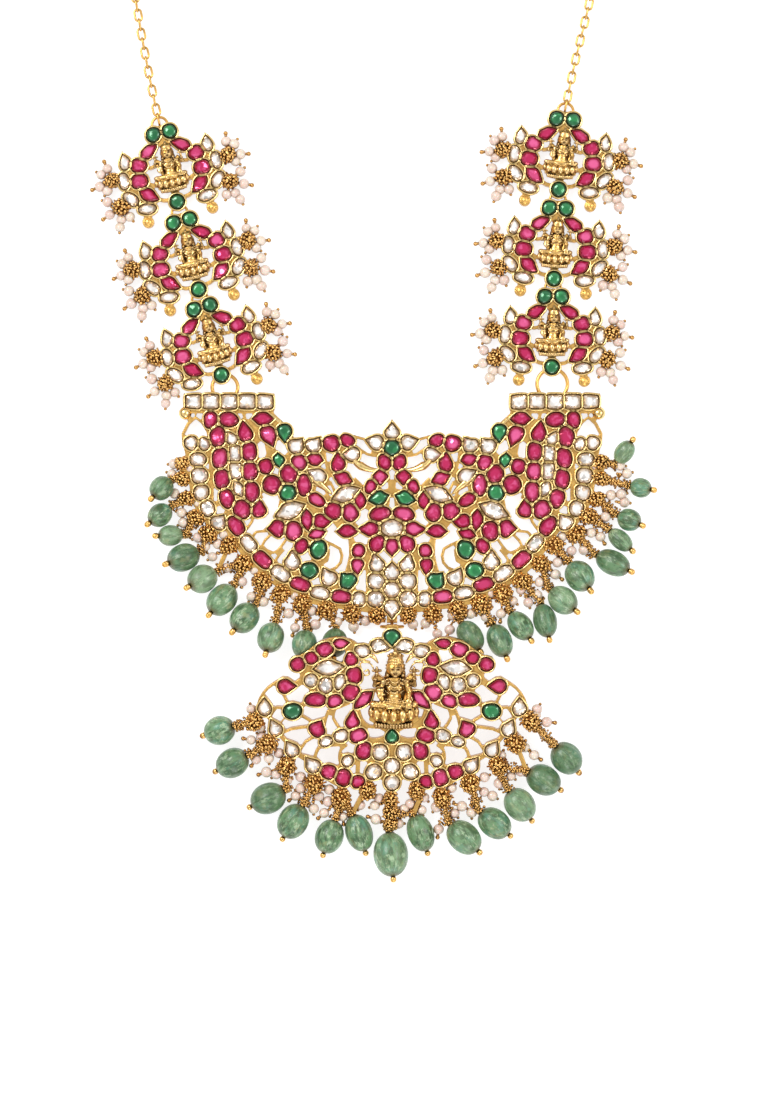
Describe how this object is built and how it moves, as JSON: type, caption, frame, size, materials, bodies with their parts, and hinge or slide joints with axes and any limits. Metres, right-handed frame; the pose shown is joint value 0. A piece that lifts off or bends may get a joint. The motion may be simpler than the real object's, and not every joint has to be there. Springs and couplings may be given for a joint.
{
  "type": "temple necklace",
  "caption": "Folk temple necklace lying flat: pierced gem-set pendants, figure links, bead fringes and a plain back chain with a clasp.",
  "frame": {"origin": "on the surface it lies on, under the oval diamond in the middle of the upper pendant's flower", "axes": "+X to the picture's right, +Y up the picture towards the wearer's neck, +Z out of the surface"},
  "size_m": [0.1376, 0.3458, 0.0123],
  "materials": {
    "gold": "polished",
    "ruby": "polished",
    "diamond": "polished",
    "emerald": "polished",
    "green_bead": "gloss",
    "pearl": "satin"
  },
  "bodies": {
    "root": {"upper_frame": "gold", "upper_rubies": "ruby", "upper_diamonds": "diamond", "upper_emeralds": "emerald", "lower_frame": "gold", "lower_rubies": "ruby", "lower_diamonds": "diamond", "lower_emeralds": "emerald", "link_left_1": "gold", "link_left_2": "gold", "link_left_3": "gold", "link_right_1": "gold", "link_right_2": "gold", "link_right_3": "gold", "rings_left": "gold", "rings_right": "gold", "pendant_ring": "gold", "chain_left": "gold", "chain_right": "gold", "clasp": "gold", "upper_bead_1": "green_bead", "upper_bead_2": "green_bead", "upper_bead_3": "green_bead", "upper_bead_4": "green_bead", "upper_bead_5": "green_bead", "upper_bead_6": "green_bead", "upper_bead_7": "green_bead", "upper_bead_8": "green_bead", "upper_bead_9": "green_bead", "upper_bead_10": "green_bead", "upper_bead_11": "green_bead", "upper_bead_12": "green_bead", "upper_bead_13": "green_bead", "upper_bead_14": "green_bead", "upper_bead_15": "green_bead", "upper_bead_16": "green_bead", "upper_bead_17": "green_bead", "upper_bead_18": "green_bead", "upper_bead_19": "green_bead", "upper_bead_20": "green_bead", "upper_bead_21": "green_bead", "lower_bead_1": "green_bead", "lower_bead_2": "green_bead", "lower_bead_3": "green_bead", "lower_bead_4": "green_bead", "lower_bead_5": "green_bead", "lower_bead_6": "green_bead", "lower_bead_7": "green_bead", "lower_bead_8": "green_bead", "lower_bead_9": "green_bead", "lower_bead_10": "green_bead", "lower_bead_11": "green_bead", "lower_bead_12": "green_bead", "lower_bead_13": "green_bead"}
  },
  "joints": []
}
